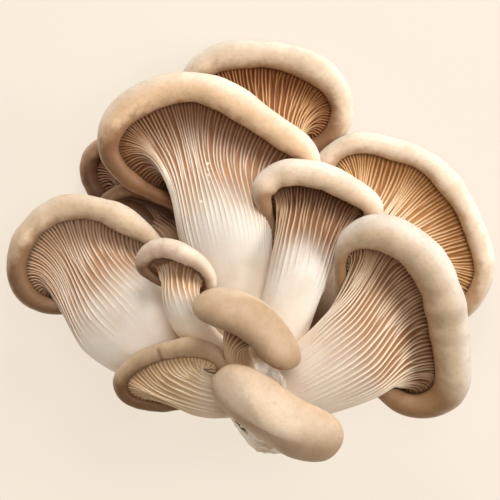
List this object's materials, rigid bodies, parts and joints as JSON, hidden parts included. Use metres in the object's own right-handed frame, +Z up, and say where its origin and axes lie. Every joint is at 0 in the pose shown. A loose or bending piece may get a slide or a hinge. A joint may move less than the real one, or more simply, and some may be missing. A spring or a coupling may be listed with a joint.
{
  "type": "oyster mushroom cluster",
  "caption": "Picked cluster of oyster mushrooms lying on its caps, gills up, the stems fanning from one fused base.",
  "frame": {"origin": "on the surface the cluster lies on, below the middle of its box", "axes": "+Z up, towards the gills; the fused base is towards -Y and the caps fan out towards +Y, +X and -X"},
  "size_m": [0.1976, 0.1688, 0.0929],
  "materials": {
    "cream_flesh": "matt, slightly moist skin",
    "russet_flesh": "matt, slightly moist skin",
    "tan_flesh": "matt, slightly moist skin",
    "base_flesh": "matt, torn and fibrous"
  },
  "bodies": {
    "root": {"centre_mushroom": "cream_flesh", "centre_right_mushroom": "cream_flesh", "left_mushroom": "cream_flesh", "right_front_mushroom": "cream_flesh", "top_back_mushroom": "russet_flesh", "right_back_mushroom": "russet_flesh", "left_back_upper_mushroom": "tan_flesh", "left_back_lower_mushroom": "tan_flesh", "small_left_mushroom": "tan_flesh", "small_low_left_mushroom": "tan_flesh", "front_upper_mushroom": "tan_flesh", "front_lower_mushroom": "tan_flesh", "fused_base": "base_flesh"}
  },
  "joints": []
}
